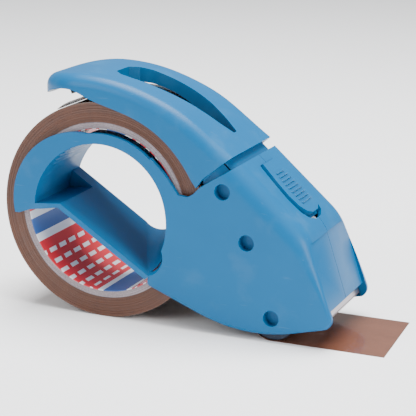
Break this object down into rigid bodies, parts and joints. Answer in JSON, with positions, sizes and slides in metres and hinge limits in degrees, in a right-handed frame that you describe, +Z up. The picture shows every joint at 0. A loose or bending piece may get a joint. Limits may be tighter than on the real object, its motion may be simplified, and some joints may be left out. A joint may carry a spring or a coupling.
{
  "type": "hand tape dispenser",
  "caption": "Hand dispenser for packing tape: a roll turns on a hub under an arched handle, and the tape runs over a roller to a serrated cutter.",
  "frame": {"origin": "on the ground, under the middle of the whole dispenser with its tape", "axes": "+X from the roll towards the cutter and the free tape, +Y along the roll's axis to the closed side, +Z up"},
  "size_m": [0.1844, 0.056, 0.1118],
  "materials": {
    "body_blue": "semi-gloss moulded",
    "tape_brown": "glossy film edge",
    "tape_film": "glossy, translucent",
    "cardboard": "matte",
    "liner_print": "printed paper",
    "steel": "plain",
    "dark_plastic": "matte",
    "white_plastic": "matte",
    "roller_rubber": "matte",
    "pad_rubber": "matte"
  },
  "bodies": {
    "frame": {"near_shell": "body_blue", "far_shell": "body_blue", "hub_rim": "body_blue", "pivot_screw": "steel", "middle_screw": "steel", "roller_screw": "steel", "tape_web": "tape_film", "tape_guide_leaf": "white_plastic", "handle_spring": "steel", "blade_spring": "steel"},
    "tape_roll": {"tape_winding": "tape_brown", "roll_core": "cardboard", "core_liner": "liner_print"},
    "roller": {"roller_hub": "dark_plastic", "roller_tyre": "roller_rubber"},
    "handle_arm": {"handle": "body_blue", "brake_pad": "pad_rubber"},
    "slider": {"thumb_slider": "body_blue", "slider_strap": "white_plastic"},
    "cutter": {"blade_carrier": "dark_plastic", "cutter_blade": "steel", "blade_rivet_near": "steel", "blade_rivet_far": "steel"}
  },
  "joints": [
    {"name": "roll_spin", "type": "hinge", "parent": "frame", "child": "tape_roll", "pos_m": [-0.0422, 0, 0.05], "axis": [0, 1, 0], "continuous": true},
    {"name": "roller_spin", "type": "hinge", "parent": "frame", "child": "roller", "pos_m": [0.041, 0, 0.01125], "axis": [0, 1, 0], "continuous": true},
    {"name": "handle_press", "type": "hinge", "parent": "frame", "child": "handle_arm", "pos_m": [0.017, 0, 0.0659], "axis": [0, 1, 0], "range_deg": [-2, 0], "stiffness_Nm_per_rad": 2, "springref_deg": 1.15},
    {"name": "slider_slide", "type": "slide", "parent": "frame", "child": "slider", "axis": [0.7522, 0, -0.659], "range_m": [0, 0.0025], "stiffness_N_per_m": 300, "springref_m": -0.003, "deforming": ["slider_strap"]},
    {"name": "cutter_slide", "type": "slide", "parent": "frame", "child": "cutter", "axis": [0.3214, 0, -0.947], "range_m": [0, 0.0025], "deforming": ["blade_spring"]}
  ],
  "couplings": [
    {"joint": "roller_spin", "follows": "roll_spin", "ratio": -4.6296},
    {"joint": "cutter_slide", "follows": "slider_slide", "ratio": 1}
  ]
}
